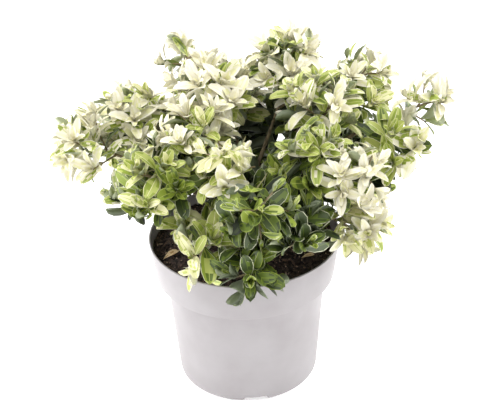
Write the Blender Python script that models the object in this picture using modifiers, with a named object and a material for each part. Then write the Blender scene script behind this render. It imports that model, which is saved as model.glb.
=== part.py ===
"""A potted japanese euonymus: a low, broad, variegated shrub in a plastic nursery pot.

The pot stands on its flat underside, at the origin, with +Z up and -Y towards the front. It is
filled with peat. A short flared stock stands in the peat, and main boughs leave it all round. Each
main bough carries the masses of foliage of one group: it ends in the first, and side boughs fork
from it to the others. A mass is one solid: a stem that goes on from its bough's tip, shoots that
branch from the stem by a seeded rule, and pairs of leaves that end in a whorl at each tip.
"""

import math

import bmesh
import bpy
import numpy as np
from mathutils import Matrix, Vector
from mathutils.bvhtree import BVHTree

# Pot: a 3 litre nursery pot, 19 cm across the rim, with a deep collar
POT_RIM_RADIUS = 0.095
POT_HEIGHT = 0.156
POT_WALL = 0.002
COLLAR_DEPTH = 0.0415
COLLAR_FOOT_RADIUS = 0.0887
BODY_TOP_RADIUS = 0.0796
BODY_FOOT_RADIUS = 0.0700
FOOT_ROUNDING = 0.005
FOOT_RING_RADIUS = 0.060
FLOOR_RISE = 0.006
CENTRE_PAD_RADIUS = 0.032
LIP_ROUNDING = 0.0008
LIP_STEPS = 2
FOOT_STEPS = 3
TURN_STEPS = 36
TURN_WELD = 1e-5
NOTCH_COUNT = 4
NOTCH_FOOT_WIDTH = 0.028
NOTCH_TOP_WIDTH = 0.021
NOTCH_HEADROOM = 0.0005
NOTCH_BELOW = 0.002
NOTCH_SHIFT = 0.35
NOTCH_FIRST_TURN = math.radians(-85)
DRAIN_COUNT = 8
DRAIN_RADIUS = 0.0045
DRAIN_RING_RADIUS = 0.046
DRAIN_SIDES = 8
DRAIN_DEPTH = 0.006

# Peat: fills the pot to just below the rim
FIT_GAP = 0.0003
PEAT_TOP = 0.149
PEAT_EDGE_DROP = 0.003
PEAT_FLAT_RADIUS = 0.022

# Stock: a short stem with a flare where it meets the peat
STOCK_HEIGHT = 0.050
STOCK_TOP_RADIUS = 0.0062
STOCK_WAIST_RADIUS = 0.0070
STOCK_FOOT_RADIUS = 0.0125
STOCK_TOP_SHARE = 0.6
STOCK_SHOULDER = 0.003
STOCK_WAIST_HEIGHT = 0.016
STOCK_FLARE_HEIGHT = 0.007
STOCK_FLARE_SHARE = 1.18
STOCK_SIDES = 12

# Boughs
MAIN_ROOT_RADIUS = 0.0026
SIDE_ROOT_RADIUS = 0.0020
BOUGH_TIP_RADIUS = 0.0014
STEM_TIP_RADIUS = 0.0009
BOUGH_POINTS = 6
LIMB_SIDES = 6
ROUTE_START = 0.34
ROUTE_END = 0.22
ROUTE_POINTS = 60
FORK_POINTS = 13
LIMB_CLEAR = 0.0062
MAIN_LIFT = 1.25
BOUGH_END = 0.92
FIRST_FORK = 0.34
FORK_STEP = 0.22
FORK_LEAN = 0.45
MASS_TOP = 0.176
ROOT_LOW = 0.006
ROOT_HIGH = 0.044
BEND_TRIES = 80
BEND_STEP = 0.012
JOIN_TRIES = ("EXACT", "MANIFOLD") * 6
JOINT_THINNINGS = (0.74, 0.77, 0.72, 0.80, 0.84, 0.90)

# Foliage
SEED = 7
SPACE_GAP = 0.0008
REACH = 1.16
RIM_CLEAR = 0.006
STEM_REACH = 0.62
SHOOT_COUNT = 6
SHOOT_REACHES = (0.66, 0.54, 0.42)
SHOOT_TILT = (30, 112)
SHOOT_TURN_SPREAD = 0.25
SHOOT_REACH_SPREAD = (0.85, 1.15)
SHOOT_FORKS = (0.8, 0.7)
SHOOT_CURVE = 0.67
SHOOT_RADIUS = 0.0011
STEM_POINTS = 5
SHOOT_POINTS = 4
GOLDEN_TURN = math.radians(137.5)
LEAF_PAIRS = ((0.0005, 34, 0.86), (0.003, 62, 1.0), (0.012, 78, 1.0))
LEAF_SIZE = {"dark": 1.16, "green": 1.05}
LEAF_TRIES = (1.0, 0.82, 0.66)
LEAF_TURN_SPREAD = 0.2
LEAF_LEAN_SPREAD = 8
LEAF_SIZE_SPREAD = (0.88, 1.12)
MASS_LEAVES = 24
LEAF_LENGTH = 0.042
FULL_SIZE = 0.042
ROOT_SINK = 0.0001
ROOT_OUT = 0.00015
LEAF_WIDTH = 0.44
LEAF_THICKNESS = 0.028
LEAF_BROADEST = 0.56
LEAF_ARCH = 0.10
LEAF_FOLD = 0.07
LEAF_DROOP = 0.06
LEAF_CLEAR = 0.0008
STEEP = 0.98

# Surfaces
POT_COLOUR = (0.72, 0.70, 0.71)
PEAT_COLOUR = (0.035, 0.022, 0.015)
BARK_COLOUR = (0.19, 0.15, 0.09)
LEAF_COLOURS = {
    "cream": (0.80, 0.79, 0.52),
    "pale": (0.68, 0.70, 0.38),
    "yellow": (0.52, 0.60, 0.18),
    "mixed": (0.44, 0.50, 0.24),
    "green": (0.17, 0.29, 0.06),
    "dark": (0.07, 0.12, 0.05),
}
POT_ROUGHNESS = 0.45
PEAT_ROUGHNESS = 0.95
BARK_ROUGHNESS = 0.8
LEAF_ROUGHNESS = 0.5
SHADE_ANGLE = math.radians(35)
LIMB_SHADE_ANGLE = math.radians(65)
WELD = 1e-6

# The masses, in groups by the main bough that carries them, which ends in the first of its group:
# turn about the pot's axis from +X in degrees, distance out from it and height over the rim in mm,
# size of the mass in mm, rise of its leading shoot over level in degrees, and tone
GROUPS = {
    "left": {
        "far_left": (177, 145, 101, 38, 12, "pale"),
        "upper_left": (157, 113, 103, 44, 42, "cream"),
        "low_left": (-170, 102, 56, 34, 4, "dark"),
    },
    "front_left": {
        "middle_left": (-144, 94, 97, 42, 34, "yellow"),
        "apron_left": (-116, 87, 38, 38, 0, "yellow"),
        "cream_left": (-151, 46, 126, 42, 66, "cream"),
    },
    "rear_left": {
        "tall_left": (134, 72, 166, 30, 86, "cream"),
        "rear_left": (137, 124, 54, 50, 20, "mixed"),
    },
    "front": {
        "heart": (-101, 69, 117, 42, 50, "cream"),
        "front": (-83, 105, 93, 42, 24, "green"),
    },
    "inner": {
        "inner": (-79, 44, 62, 40, 40, "dark"),
    },
    "inner_left": {
        "inner_left": (161, 63, 58, 42, 30, "dark"),
    },
    "inner_right": {
        "inner_right": (6, 61, 59, 42, 30, "dark"),
    },
    "apron": {
        "apron": (-88, 98, 29, 38, -6, "mixed"),
        "apron_right": (-61, 87, 47, 40, 0, "dark"),
    },
    "front_right": {
        "lime": (-32, 79, 106, 42, 48, "yellow"),
        "low_right": (-21, 114, 31, 36, 0, "cream"),
        "cream_right": (-29, 119, 100, 42, 24, "cream"),
    },
    "right": {
        "far_right": (8, 179, 125, 30, 14, "cream"),
        "right_shoot": (-2, 148, 95, 35, 4, "pale"),
        "right_upper": (-4, 74, 131, 44, 50, "cream"),
    },
    "rear_right": {
        "top_right": (28, 128, 128, 42, 50, "cream"),
        "rear_right": (58, 120, 68, 52, 18, "green"),
        "low_rear_right": (24, 113, 40, 46, 4, "dark"),
    },
    "rear": {
        "top_middle": (52, 79, 142, 48, 74, "cream"),
        "top": (143, 33, 142, 44, 80, "cream"),
    },
    "far_rear": {
        "rear_top": (98, 106, 89, 52, 34, "cream"),
        "rear_low": (98, 116, 42, 52, 4, "dark"),
    },
}
MM = 0.001
UP = Vector((0.0, 0.0, 1.0))


def clear_scene():
    """Remove every object that the scene starts with."""
    for thing in list(bpy.data.objects):
        bpy.data.objects.remove(thing, do_unlink=True)


def new_collection(name):
    collection = bpy.data.collections.new(name)
    bpy.context.scene.collection.children.link(collection)
    return collection


def new_material(name, colour, roughness):
    """A Principled material with the sub-part's own colour and roughness."""
    material = bpy.data.materials.new(name)
    material.use_nodes = True
    shader = material.node_tree.nodes["Principled BSDF"]
    shader.inputs["Base Color"].default_value = (*colour, 1.0)
    shader.inputs["Roughness"].default_value = roughness
    return material


def add_object(name, data, collection, material=None):
    thing = bpy.data.objects.new(name, data)
    collection.objects.link(thing)
    if material:
        data.materials.append(material)
    return thing


def evaluated_mesh(thing):
    """The mesh that an object shows, with its modifiers applied and its doubles welded."""
    bpy.context.view_layer.update()
    shown = thing.evaluated_get(bpy.context.evaluated_depsgraph_get())
    mesh = bpy.data.meshes.new_from_object(shown)
    shape = bmesh.new()
    shape.from_mesh(mesh)
    bmesh.ops.remove_doubles(shape, verts=shape.verts, dist=WELD)
    shape.to_mesh(mesh)
    shape.free()
    return mesh


def turned(name, profile, steps, collection, material=None):
    """A solid of revolution: a profile of (radius, height) points and a Screw modifier."""
    mesh = bpy.data.meshes.new(name)
    points = [(radius, 0.0, height) for radius, height in profile]
    mesh.from_pydata(points, [(i, i + 1) for i in range(len(points) - 1)], [])
    thing = add_object(name, mesh, collection, material)
    screw = thing.modifiers.new("Turn", "SCREW")
    screw.steps = steps
    screw.render_steps = steps
    screw.use_merge_vertices = True
    screw.merge_threshold = TURN_WELD
    return thing


def quarter_arc(centre, radius, start, steps):
    """Points of a quarter circle, turning clockwise from the start angle."""
    angles = (start - math.pi / 2 * i / steps for i in range(steps + 1))
    return [(centre[0] + radius * math.cos(a), centre[1] + radius * math.sin(a)) for a in angles]


def subtract(thing, cutters):
    """Cut a collection of shapes from an object, with the cutters kept as hidden guides."""
    cut = thing.modifiers.new("Cut", "BOOLEAN")
    cut.operation = "DIFFERENCE"
    cut.operand_type = "COLLECTION"
    cut.collection = cutters
    cut.solver = "EXACT"
    for cutter in cutters.objects:
        cutter.hide_render = True
        cutter.display_type = "WIRE"


def round_shaded(mesh, angle=SHADE_ANGLE):
    mesh.shade_smooth()
    mesh.set_sharp_from_angle(angle=angle)


def make_pot(parts, cutters):
    """The pot's wall as one profile, with foot notches and drain holes cut from it."""
    ledge = POT_HEIGHT - COLLAR_DEPTH
    inside = -POT_WALL
    floor_top = FLOOR_RISE + POT_WALL
    lip = (POT_RIM_RADIUS - LIP_ROUNDING, POT_HEIGHT - LIP_ROUNDING)
    foot = (BODY_FOOT_RADIUS - FOOT_ROUNDING, FOOT_ROUNDING)
    profile = [
        (0.0, floor_top),
        (BODY_FOOT_RADIUS + inside, floor_top),
        (BODY_TOP_RADIUS + inside, ledge + POT_WALL),
        (COLLAR_FOOT_RADIUS + inside, ledge + POT_WALL),
        (POT_RIM_RADIUS + inside, POT_HEIGHT),
        *quarter_arc(lip, LIP_ROUNDING, math.pi / 2, LIP_STEPS),
        (COLLAR_FOOT_RADIUS, ledge + LIP_ROUNDING),
        (COLLAR_FOOT_RADIUS - LIP_ROUNDING, ledge),
        (BODY_TOP_RADIUS, ledge),
        *quarter_arc(foot, FOOT_ROUNDING, 0.0, FOOT_STEPS),
        (FOOT_RING_RADIUS, 0.0),
        (FOOT_RING_RADIUS, FLOOR_RISE),
        (CENTRE_PAD_RADIUS, FLOOR_RISE),
        (CENTRE_PAD_RADIUS, 0.0),
        (0.0, 0.0),
    ]
    pot = turned("pot", profile, TURN_STEPS, parts, new_material("pot", POT_COLOUR, POT_ROUGHNESS))
    round_shaded(pot.data)
    for i in range(NOTCH_COUNT):
        turn = NOTCH_FIRST_TURN + math.tau * i / NOTCH_COUNT
        add_notch(cutters, turn)
    for i in range(DRAIN_COUNT):
        turn = NOTCH_FIRST_TURN + math.tau * (i + 0.5) / DRAIN_COUNT
        add_drain(cutters, turn)
    subtract(pot, cutters)
    return pot


def add_notch(cutters, turn):
    """A wedge through the foot ring, wider at the foot than at its top."""
    shape = bmesh.new()
    bmesh.ops.create_cube(shape, size=1.0)
    depth = 2 * (BODY_FOOT_RADIUS - FOOT_RING_RADIUS)
    for vert in shape.verts:
        width = NOTCH_TOP_WIDTH if vert.co.z > 0 else NOTCH_FOOT_WIDTH
        vert.co.y *= width
        vert.co.x = FOOT_RING_RADIUS + depth * (vert.co.x + NOTCH_SHIFT)
        vert.co.z = FLOOR_RISE - NOTCH_HEADROOM if vert.co.z > 0 else -NOTCH_BELOW
    shape.transform(Matrix.Rotation(turn, 4, "Z"))
    mesh = bpy.data.meshes.new("notch")
    shape.to_mesh(mesh)
    shape.free()
    add_object("notch", mesh, cutters)


def add_drain(cutters, turn):
    """A round drain hole through the pot's raised floor."""
    shape = bmesh.new()
    bmesh.ops.create_cone(
        shape,
        cap_ends=True,
        segments=DRAIN_SIDES,
        radius1=DRAIN_RADIUS,
        radius2=DRAIN_RADIUS,
        depth=DRAIN_DEPTH,
    )
    middle = FLOOR_RISE + POT_WALL / 2
    place = Matrix.Rotation(turn, 4, "Z") @ Matrix.Translation((DRAIN_RING_RADIUS, 0.0, middle))
    shape.transform(place)
    mesh = bpy.data.meshes.new("drain")
    shape.to_mesh(mesh)
    shape.free()
    add_object("drain", mesh, cutters)


def make_peat(parts):
    """The fill of the pot, a gap smaller than the pot's inside all round."""
    ledge = POT_HEIGHT - COLLAR_DEPTH + POT_WALL + FIT_GAP
    floor = FLOOR_RISE + POT_WALL + FIT_GAP
    wall = POT_WALL + FIT_GAP
    edge = PEAT_TOP - PEAT_EDGE_DROP
    collar_slope = (POT_RIM_RADIUS - COLLAR_FOOT_RADIUS) / COLLAR_DEPTH
    edge_radius = POT_RIM_RADIUS - wall - collar_slope * (POT_HEIGHT - edge) - FIT_GAP
    profile = [
        (0.0, PEAT_TOP),
        (PEAT_FLAT_RADIUS, PEAT_TOP),
        (edge_radius, edge),
        (COLLAR_FOOT_RADIUS - wall, ledge),
        (BODY_TOP_RADIUS - wall, ledge),
        (BODY_FOOT_RADIUS - wall, floor),
        (0.0, floor),
    ]
    earth = new_material("peat", PEAT_COLOUR, PEAT_ROUGHNESS)
    return turned("peat", profile, TURN_STEPS, parts, earth)


def stock_profile(grown=0.0):
    """The stock's flared outline, from its top down, made larger all round by a given amount."""
    foot = PEAT_TOP + FIT_GAP
    top = foot + STOCK_HEIGHT
    return [
        (0.0, top + grown),
        (STOCK_TOP_RADIUS * STOCK_TOP_SHARE + grown, top + grown),
        (STOCK_TOP_RADIUS + grown, top - STOCK_SHOULDER),
        (STOCK_WAIST_RADIUS + grown, foot + STOCK_WAIST_HEIGHT),
        (STOCK_WAIST_RADIUS * STOCK_FLARE_SHARE + grown, foot + STOCK_FLARE_HEIGHT),
        (STOCK_FOOT_RADIUS + grown, foot - grown),
        (0.0, foot - grown),
    ]


def spaces():
    """Each mass's centre, size, leading direction and tone, by name, in the table's order."""
    found = {}
    for masses in GROUPS.values():
        for name, (turn, out, up, size, rise, tone) in masses.items():
            turn, rise = math.radians(turn), math.radians(rise)
            flat = Vector((math.cos(turn), math.sin(turn), 0.0))
            centre = flat * out * MM + UP * (POT_HEIGHT + up * MM)
            lead = flat * math.cos(rise) + UP * math.sin(rise)
            found[name] = (centre, size * MM, lead, tone)
    return found


class Space:
    """The room that one mass keeps to: nearer to it than to the others, and clear of the pot."""

    def __init__(self, name, table):
        self.number = list(table).index(name)
        self.centre, self.size, self.lead, self.tone = table[name]
        walls = []
        for other, (centre, size, _, _) in table.items():
            if other == name:
                continue
            away = centre - self.centre
            apart = away.length
            share = (apart**2 + self.size**2 - size**2) / (2 * apart)
            walls.append((*(away / apart), share - SPACE_GAP / 2))
        self.walls = np.array(walls)

    def holds(self, points, reach=REACH):
        """Whether every point lies in the space, within reach of its centre and off the pot."""
        away = np.array(points) - np.array(self.centre)
        if (np.linalg.norm(away, axis=1) > reach * self.size).any():
            return False
        if (away @ self.walls[:, :3].T > self.walls[:, 3]).any():
            return False
        return all(off_pot(Vector(p)) for p in points)


def off_pot(point):
    """Whether a point is clear of the pot and the peat: above them, or outside the pot's wall."""
    radius = math.hypot(point.x, point.y)
    if point.z > POT_HEIGHT + LEAF_CLEAR:
        return True
    if radius > POT_RIM_RADIUS + LEAF_CLEAR:
        return point.z > POT_HEIGHT - COLLAR_DEPTH
    return radius < POT_RIM_RADIUS - RIM_CLEAR and point.z > PEAT_TOP + LEAF_CLEAR


def bezier(p0, p1, p2, p3, count):
    """Points of a cubic curve, evenly spaced in its parameter."""
    found = []
    for i in range(count):
        t = i / (count - 1)
        s = 1 - t
        found.append(p0 * s**3 + p1 * 3 * s * s * t + p2 * 3 * s * t * t + p3 * t**3)
    return found


def spaced(points, count):
    """A path's points, evenly spaced along its length."""
    lengths = [0.0]
    for a, b in zip(points, points[1:]):
        lengths.append(lengths[-1] + (b - a).length)
    found, k = [], 0
    for i in range(count):
        want = lengths[-1] * i / (count - 1)
        while k < len(points) - 2 and lengths[k + 1] < want:
            k += 1
        share = (want - lengths[k]) / (lengths[k + 1] - lengths[k])
        found.append(points[k].lerp(points[k + 1], share))
    return found


def nearest_gap(path, other):
    """The least distance between two paths, leaving out what lies inside the stock."""
    a, b = np.array(path), np.array(other)
    a, b = (p[np.hypot(p[:, 0], p[:, 1]) > STOCK_TOP_RADIUS] for p in (a, b))
    return float(np.sqrt(((a[:, None] - b[None]) ** 2).sum(axis=2)).min())


def limb_route(root, away, row, bend):
    """A limb's smooth path from its root, through its mass's centre, to the leading tip."""
    centre, size, lead, _ = row
    tip = centre + lead * size * STEM_REACH
    span = (centre - root).length
    side = away.cross(UP).normalized()
    first = root + (away * ROUTE_START + side * bend) * span
    last = centre - lead * span * ROUTE_END
    return spaced(bezier(root, first, last, tip, ROUTE_POINTS), ROUTE_POINTS)


def route_limbs(table):
    """Each limb's path and the main limb it forks from, bent aside until it clears the others."""
    routes, parents = {}, {}
    draw = np.random.default_rng(SEED)
    for masses in GROUPS.values():
        main = next(iter(masses))
        for order, name in enumerate(masses):
            centre = table[name][0]
            if name == main:
                root, parent = main_root(centre), None
                away = centre - root
                away.z *= MAIN_LIFT
            else:
                path, parent = routes[main], main
                fork = FIRST_FORK + FORK_STEP * (order - 1)
                k = int(fork * bough_points(path, table[main]))
                root = path[k]
                away = (path[k + 1] - path[k]).normalized() * FORK_LEAN
                away += (centre - root).normalized()
            routes[name] = clearest(root, away.normalized(), table[name], routes, parent, draw)
            parents[name] = parent
    return routes, parents


def main_root(centre):
    """Where a main bough leaves the stock: the higher its mass, the higher up."""
    share = (centre.z - POT_HEIGHT) / MASS_TOP
    return UP * (PEAT_TOP + FIT_GAP + ROOT_LOW + (ROOT_HIGH - ROOT_LOW) * share)


def clearest(root, away, row, routes, parent, draw):
    """The first of a limb's bends that clears the other limbs, or else the one that does best."""
    best, most = None, -1.0
    for k in range(BEND_TRIES):
        bend = draw.uniform(-1, 1) * min(1.0, k * BEND_STEP)
        route = limb_route(root, away, row, bend)
        gaps = [1.0]
        for name, other in routes.items():
            skip = FORK_POINTS if name == parent else 0
            gaps.append(nearest_gap(route[skip:], other))
        if min(gaps) > most:
            best, most = route, min(gaps)
        if most > LIMB_CLEAR:
            break
    return best


def bough_points(path, row):
    """How many of a limb's points lie outside its mass, where its bough ends."""
    centre, size, _, _ = row
    return sum((point - centre).length > size * BOUGH_END for point in path)


def stretch(path, start, end, count):
    """Evenly spaced points of a path between two distances along it."""
    fine = spaced(path, len(path))
    step = (fine[1] - fine[0]).length
    found = []
    for i in range(count):
        k = min(max((start + (end - start) * i / (count - 1)) / step, 0.0), len(fine) - 1.001)
        found.append(fine[int(k)].lerp(fine[int(k) + 1], k - int(k)))
    return found


def tapered(start, end, count):
    return [start + (end - start) * i / (count - 1) for i in range(count)]


def tube(name, path, radii, sides, collection, material=None):
    """A tapering limb: a curve with filled caps, round or three-sided, made a mesh."""
    curve = bpy.data.curves.new(name, "CURVE")
    curve.dimensions = "3D"
    curve.use_fill_caps = True
    if sides == 3:
        curve.bevel_mode = "OBJECT"
        curve.bevel_object = bpy.data.objects["twig_section"]
    else:
        curve.bevel_depth = 1.0
        curve.bevel_resolution = sides // 2 - 2
    spline = curve.splines.new("POLY")
    spline.points.add(len(path) - 1)
    for point, place, radius in zip(spline.points, path, radii):
        point.co = (*place, 1.0)
        point.radius = radius
    thing = add_object(name, curve, collection)
    mesh = evaluated_mesh(thing)
    bpy.data.objects.remove(thing)
    bpy.data.curves.remove(curve)
    return add_object(name, mesh, collection, material)


def make_twig_section(guides):
    """The three-sided section, of unit radius, that the twigs are drawn along."""
    curve = bpy.data.curves.new("twig_section", "CURVE")
    spline = curve.splines.new("POLY")
    spline.points.add(2)
    for i, point in enumerate(spline.points):
        turn = -math.tau * i / 3
        point.co = (math.cos(turn), math.sin(turn), 0.0, 1.0)
    spline.use_cyclic_u = True
    section = add_object("twig_section", curve, guides)
    section.hide_render = True
    section.display_type = "WIRE"


def corners_and_faces(thing):
    mesh = thing.data
    return [v.co.copy() for v in mesh.vertices], [tuple(p.vertices) for p in mesh.polygons]


def tree_of(things):
    """One search tree over the faces of several objects that sit at the origin."""
    points, faces = [], []
    for thing in things:
        corners, polygons = corners_and_faces(thing)
        faces += [tuple(i + len(points) for i in polygon) for polygon in polygons]
        points += corners
    return BVHTree.FromPolygons(points, faces)


def blade(root, ahead, face, length):
    """A leaf's corners and faces: a four-sided ball drawn out, folded and bent back at its tip."""
    side = face.cross(ahead).normalized()
    shape = bmesh.new()
    bmesh.ops.create_uvsphere(shape, u_segments=4, v_segments=2, radius=1.0)
    corners = []
    for vert in shape.verts:
        across, over, along = (round(c) for c in vert.co)
        reach = (0.0, LEAF_BROADEST, 1.0)[along + 1]
        lift = 0.0 if along < 0 else -LEAF_DROOP
        if along == 0:
            lift = LEAF_ARCH + LEAF_FOLD * abs(across) + LEAF_THICKNESS / 2 * over
        place = ahead * reach + side * across * LEAF_WIDTH / 2 + face * lift
        corners.append(root + place * length)
    faces = [tuple(v.index for v in f.verts) for f in shape.faces]
    shape.free()
    return corners, faces


def sideways(lead):
    """Two directions square to a leading direction and to each other."""
    first = lead.cross(UP) if abs(lead.z) < STEEP else lead.cross(Vector((1.0, 0.0, 0.0)))
    first.normalize()
    return first, first.cross(lead).normalized()


def shoot_route(space, stem, k, reach):
    """The path of a mass's shoot k: it leaves the stem early when it leans far from its lead."""
    draw = np.random.default_rng([SEED, space.number, k])
    share = (k + 0.5) / SHOOT_COUNT
    tilt = math.radians(SHOOT_TILT[0] + (SHOOT_TILT[1] - SHOOT_TILT[0]) * share)
    turn = GOLDEN_TURN * k + draw.uniform(-SHOOT_TURN_SPREAD, SHOOT_TURN_SPREAD)
    right, over = sideways(space.lead)
    aim = space.lead * math.cos(tilt)
    aim += (right * math.cos(turn) + over * math.sin(turn)) * math.sin(tilt)
    tip = space.centre + aim * space.size * reach * draw.uniform(*SHOOT_REACH_SPREAD)
    at = int((SHOOT_FORKS[0] - SHOOT_FORKS[1] * share) * (len(stem) - 1))
    along = (stem[at + 1] - stem[at]).normalized()
    start = stem[at] - (along + aim).normalized() * ROOT_SINK
    middle = start + (along + aim).normalized() * (tip - start).length / 2
    near, far = start.lerp(middle, SHOOT_CURVE), tip.lerp(middle, SHOOT_CURVE)
    return bezier(start, near, far, tip, SHOOT_POINTS)


def leaves_of(path, draw, size):
    """The leaves of a shoot: pairs at right angles to the last pair, ending in a whorl."""
    ahead = (path[-1] - path[-2]).normalized()
    right, over = sideways(ahead)
    turn = draw.uniform(0, math.tau)
    for j, (back, angle, share) in enumerate(LEAF_PAIRS):
        node = path[-1] - ahead * back
        for half in (0, math.pi):
            spin = turn + half + j * math.pi / 2
            spin += draw.uniform(-LEAF_TURN_SPREAD, LEAF_TURN_SPREAD)
            lean = math.radians(angle + draw.uniform(-LEAF_LEAN_SPREAD, LEAF_LEAN_SPREAD))
            flat = right * math.cos(spin) + over * math.sin(spin)
            out = ahead * math.cos(lean) + flat * math.sin(lean)
            face = ahead * math.sin(lean) - flat * math.cos(lean)
            length = size * share * draw.uniform(*LEAF_SIZE_SPREAD)
            yield node + out * ROOT_OUT, out, face, length


def fitting_blade(root, ahead, face, length, space, obstacles):
    """The longest of a leaf's lengths that keeps to its space and off the limbs, if any does."""
    for share in LEAF_TRIES:
        corners, faces = blade(root, ahead, face, length * share)
        leaf = BVHTree.FromPolygons(corners, faces)
        if space.holds(corners) and not leaf.overlap(obstacles):
            return corners, faces, leaf
    return None, None, None


def grow_mass(name, space, stem, obstacles, collection):
    """One mass: its stem, the shoots and the leaves that fit its space, fused into one solid."""
    pieces = new_collection("pieces")
    size = LEAF_LENGTH * LEAF_SIZE.get(space.tone, 1.0) * min(1.0, space.size / FULL_SIZE)
    radii = tapered(BOUGH_TIP_RADIUS, STEM_TIP_RADIUS, STEM_POINTS)
    foot = tube("stem", spaced(stem, STEM_POINTS), radii, 3, collection)
    shoots = [stem]
    radii = tapered(SHOOT_RADIUS, STEM_TIP_RADIUS, SHOOT_POINTS)
    for k in range(SHOOT_COUNT):
        for reach in SHOOT_REACHES:
            path = shoot_route(space, stem, k, reach)
            if not space.holds(path[1:], 1.0):
                continue
            twig = tube("twig", path, radii, 3, pieces)
            if not tree_of([twig]).overlap(obstacles):
                shoots.append(path)
                break
            bpy.data.objects.remove(twig)
    grown = []
    for k, path in enumerate(shoots):
        draw = np.random.default_rng([SEED, space.number, k, 1])
        fresh = []
        for root, ahead, face, length in leaves_of(path, draw, size):
            corners, faces, leaf = fitting_blade(root, ahead, face, length, space, obstacles)
            full = len(grown) + len(fresh) >= MASS_LEAVES
            if full or not leaf or any(leaf.overlap(other) for other in grown):
                continue
            fresh.append(leaf)
            mesh = bpy.data.meshes.new("leaf")
            mesh.from_pydata(corners, [], faces)
            add_object("leaf", mesh, pieces)
        grown += fresh
    return fuse(name, foot, pieces, collection)


def fuse(name, foot, pieces, collection):
    """Join a stem with every piece of a collection, and keep the one body that this makes.

    A join that comes out with an open or a shared edge loses the piece nearest to it.
    """
    join = foot.modifiers.new("Join", "BOOLEAN")
    join.operation = "UNION"
    join.operand_type = "COLLECTION"
    join.collection = pieces
    for solver in JOIN_TRIES:
        join.solver = solver
        mesh = evaluated_mesh(foot)
        keep_largest(mesh)
        fault = first_fault(mesh)
        if not fault:
            break
        if solver == "MANIFOLD":
            drop_nearest(pieces, fault)
    foot.modifiers.remove(join)
    mesh = thinned(mesh, collection)
    for piece in list(pieces.objects):
        bpy.data.objects.remove(piece, do_unlink=True)
    bpy.data.collections.remove(pieces)
    bpy.data.objects.remove(foot)
    return add_object(name, mesh, collection)


def thinned(mesh, collection):
    """A mesh with the small faces round its joints drawn together, where that leaves it closed."""
    thing = add_object("thinned", mesh, collection)
    fewer = thing.modifiers.new("Thin", "DECIMATE")
    for ratio in JOINT_THINNINGS:
        fewer.ratio = ratio
        found = evaluated_mesh(thing)
        keep_largest(found)
        if not first_fault(found):
            mesh = found
            break
    bpy.data.objects.remove(thing)
    return mesh


def first_fault(mesh):
    """The middle of the first edge that hasn't just two faces, or None in a closed mesh."""
    shape = bmesh.new()
    shape.from_mesh(mesh)
    faults = [edge for edge in shape.edges if len(edge.link_faces) != 2]
    place = (faults[0].verts[0].co + faults[0].verts[1].co) / 2 if faults else None
    shape.free()
    return place


def drop_nearest(pieces, place):
    """Remove the piece of a collection whose surface is nearest to a place."""
    found = [(tree_of([piece]).find_nearest(place)[3], piece) for piece in pieces.objects]
    nearest = min(found, key=lambda pair: pair[0])[1]
    bpy.data.objects.remove(nearest, do_unlink=True)


def trim(limb, room):
    """Cut a limb back from the room round what it grows from, and keep its outer length."""
    cut = limb.modifiers.new("Trim", "BOOLEAN")
    cut.operation = "DIFFERENCE"
    cut.solver = "EXACT"
    cut.object = room
    mesh = evaluated_mesh(limb)
    keep_largest(mesh)
    round_shaded(mesh, LIMB_SHADE_ANGLE)
    limb.modifiers.remove(cut)
    limb.data = mesh


def keep_largest(mesh):
    """Drop loose scraps and sealed hollows: every body of a mesh but the largest."""
    shape = bmesh.new()
    shape.from_mesh(mesh)
    bmesh.ops.triangulate(shape, faces=shape.faces)
    left, bodies = set(shape.faces), []
    while left:
        body, edge = set(), [left.pop()]
        while edge:
            face = edge.pop()
            body.add(face)
            near = {f for e in face.edges for f in e.link_faces} & left
            left -= near
            edge += near
        bodies.append(body)
    largest = max(bodies, key=len)
    scraps = [face for body in bodies if body is not largest for face in body]
    bmesh.ops.delete(shape, geom=scraps, context="FACES")
    shape.to_mesh(mesh)
    shape.free()


def main():
    clear_scene()
    parts = new_collection("potted_japanese_euonymus")
    cutters = new_collection("pot_cutters")
    guides = new_collection("limb_guides")
    pot = make_pot(parts, cutters)
    peat = make_peat(parts)
    bark = new_material("bark", BARK_COLOUR, BARK_ROUGHNESS)
    tones = {
        tone: new_material(tone, colour, LEAF_ROUGHNESS) for tone, colour in LEAF_COLOURS.items()
    }
    stock = turned("stock", stock_profile(), STOCK_SIDES, parts, bark)
    round_shaded(stock.data)
    make_twig_section(guides)
    stock_room = turned("stock_room", stock_profile(FIT_GAP), STOCK_SIDES, guides)

    table = spaces()
    routes, parents = route_limbs(table)
    rooms, stems = {}, {}
    for name, route in routes.items():
        space = Space(name, table)
        length = sum((b - a).length for a, b in zip(route, route[1:]))
        entry = entry_of(route, space) * length / (len(route) - 1)
        bough = stretch(route, 0.0, entry - FIT_GAP / 2, BOUGH_POINTS)
        stems[name] = stretch(route, entry + FIT_GAP / 2, length, ROUTE_POINTS // 2)
        root = SIDE_ROOT_RADIUS if parents[name] else MAIN_ROOT_RADIUS
        radii = tapered(root, BOUGH_TIP_RADIUS, BOUGH_POINTS)
        room = [radius + FIT_GAP for radius in radii]
        rooms[name] = tube(f"room_{name}", bough, room, LIMB_SIDES, guides)
        limb = tube(f"bough_{name}", bough, radii, LIMB_SIDES, parts, bark)
        trim(limb, rooms[parents[name]] if parents[name] else stock_room)
    for guide in guides.objects:
        guide.hide_render = True
        guide.display_type = "WIRE"

    solid = [add_object("solid", evaluated_mesh(thing), guides) for thing in (pot, peat, stock_room)]
    obstacles = tree_of([*solid, *rooms.values()])
    for thing in solid:
        bpy.data.objects.remove(thing)
    for name in table:
        space = Space(name, table)
        mass = grow_mass(f"foliage_{name}", space, stems[name], obstacles, parts)
        mass.data.materials.clear()
        mass.data.materials.append(tones[space.tone])


def entry_of(route, space):
    """The number of the point where a limb's path enters its mass for good."""
    k = len(route) - 1
    while k > 1 and space.holds([route[k - 1]], BOUGH_END):
        k -= 1
    return k


if __name__ == "__main__":
    main()
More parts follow.
